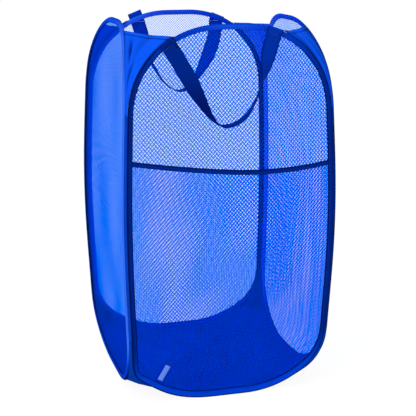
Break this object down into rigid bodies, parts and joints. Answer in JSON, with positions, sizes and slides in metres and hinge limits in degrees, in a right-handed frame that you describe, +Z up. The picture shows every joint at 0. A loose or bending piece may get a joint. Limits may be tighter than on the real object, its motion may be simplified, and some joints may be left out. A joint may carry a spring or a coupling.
{
  "type": "pop up laundry hamper",
  "caption": "Collapsible square mesh laundry hamper: sprung wire loops in sewn casings, solid floor and gussets, open top, front pocket and webbing handles.",
  "frame": {"origin": "centre of the footprint on the surface that the hamper stands on", "axes": "+Z up the height, the pocket wall faces -Y, +X is to the right of someone facing the pocket"},
  "size_m": [0.3382, 0.3906, 0.6017],
  "materials": {
    "net": "open knitted polyester net",
    "nylon": "thin plain-woven nylon with a slight sheen",
    "casing": "folded nylon casing with a stitched hem",
    "webbing": "flat woven webbing, matt navy",
    "steel": "bright spring steel wire",
    "tag": "small plain woven tag, blank"
  },
  "bodies": {
    "front_wall": {"front_wire": "steel", "front_ferrule": "steel", "front_casing": "casing", "front_net": "net", "floor": "nylon", "pocket_net": "net", "pocket_band": "casing", "tag": "tag", "front_handle_left_tab": "webbing", "front_handle_right_tab": "webbing", "front_right_seam": "nylon", "front_right_top_gusset": "nylon", "front_right_foot_gusset": "nylon", "front_left_seam": "nylon", "front_left_top_gusset": "nylon", "front_left_foot_gusset": "nylon"},
    "right_wall": {"right_wire": "steel", "right_ferrule": "steel", "right_casing": "casing", "right_net": "net", "back_right_seam": "nylon", "back_right_top_gusset": "nylon", "back_right_foot_gusset": "nylon"},
    "left_wall": {"left_wire": "steel", "left_ferrule": "steel", "left_casing": "casing", "left_net": "net", "back_left_seam": "nylon", "back_left_top_gusset": "nylon", "back_left_foot_gusset": "nylon"},
    "back_wall": {"back_wire": "steel", "back_ferrule": "steel", "back_casing": "casing", "back_net": "net", "back_handle_left_tab": "webbing", "back_handle_right_tab": "webbing"},
    "front_handle": {"front_handle": "webbing"},
    "back_handle": {"back_handle": "webbing"}
  },
  "joints": [
    {"name": "left_fold", "type": "hinge", "parent": "front_wall", "child": "left_wall", "pos_m": [-0.163, -0.163, 0.3], "axis": [0, 0, 1], "range_deg": [-77, 77], "stiffness_Nm_per_rad": 0.05, "deforming": ["front_left_seam", "front_left_top_gusset", "front_left_foot_gusset", "floor"]},
    {"name": "right_fold", "type": "hinge", "parent": "front_wall", "child": "right_wall", "pos_m": [0.163, -0.163, 0.3], "axis": [0, 0, 1], "range_deg": [-77, 77], "stiffness_Nm_per_rad": 0.05, "deforming": ["front_right_seam", "front_right_top_gusset", "front_right_foot_gusset", "back_right_seam", "back_right_top_gusset", "back_right_foot_gusset"]},
    {"name": "back_fold", "type": "hinge", "parent": "left_wall", "child": "back_wall", "pos_m": [-0.163, 0.163, 0.3], "axis": [0, 0, 1], "range_deg": [-77, 77], "deforming": ["back_left_seam", "back_left_top_gusset", "back_left_foot_gusset"]},
    {"name": "front_handle_swing", "type": "hinge", "parent": "front_wall", "child": "front_handle", "pos_m": [-0.01608, -0.17123, 0.5744], "axis": [-0.9953, 0, -0.0967], "range_deg": [0, 175]},
    {"name": "back_handle_swing", "type": "hinge", "parent": "back_wall", "child": "back_handle", "pos_m": [0.00093, 0.17123, 0.57983], "axis": [1, 0, -0.0051], "range_deg": [0, 175]}
  ],
  "couplings": [
    {"joint": "right_fold", "follows": "left_fold", "ratio": 1},
    {"joint": "back_fold", "follows": "left_fold", "ratio": -1}
  ]
}
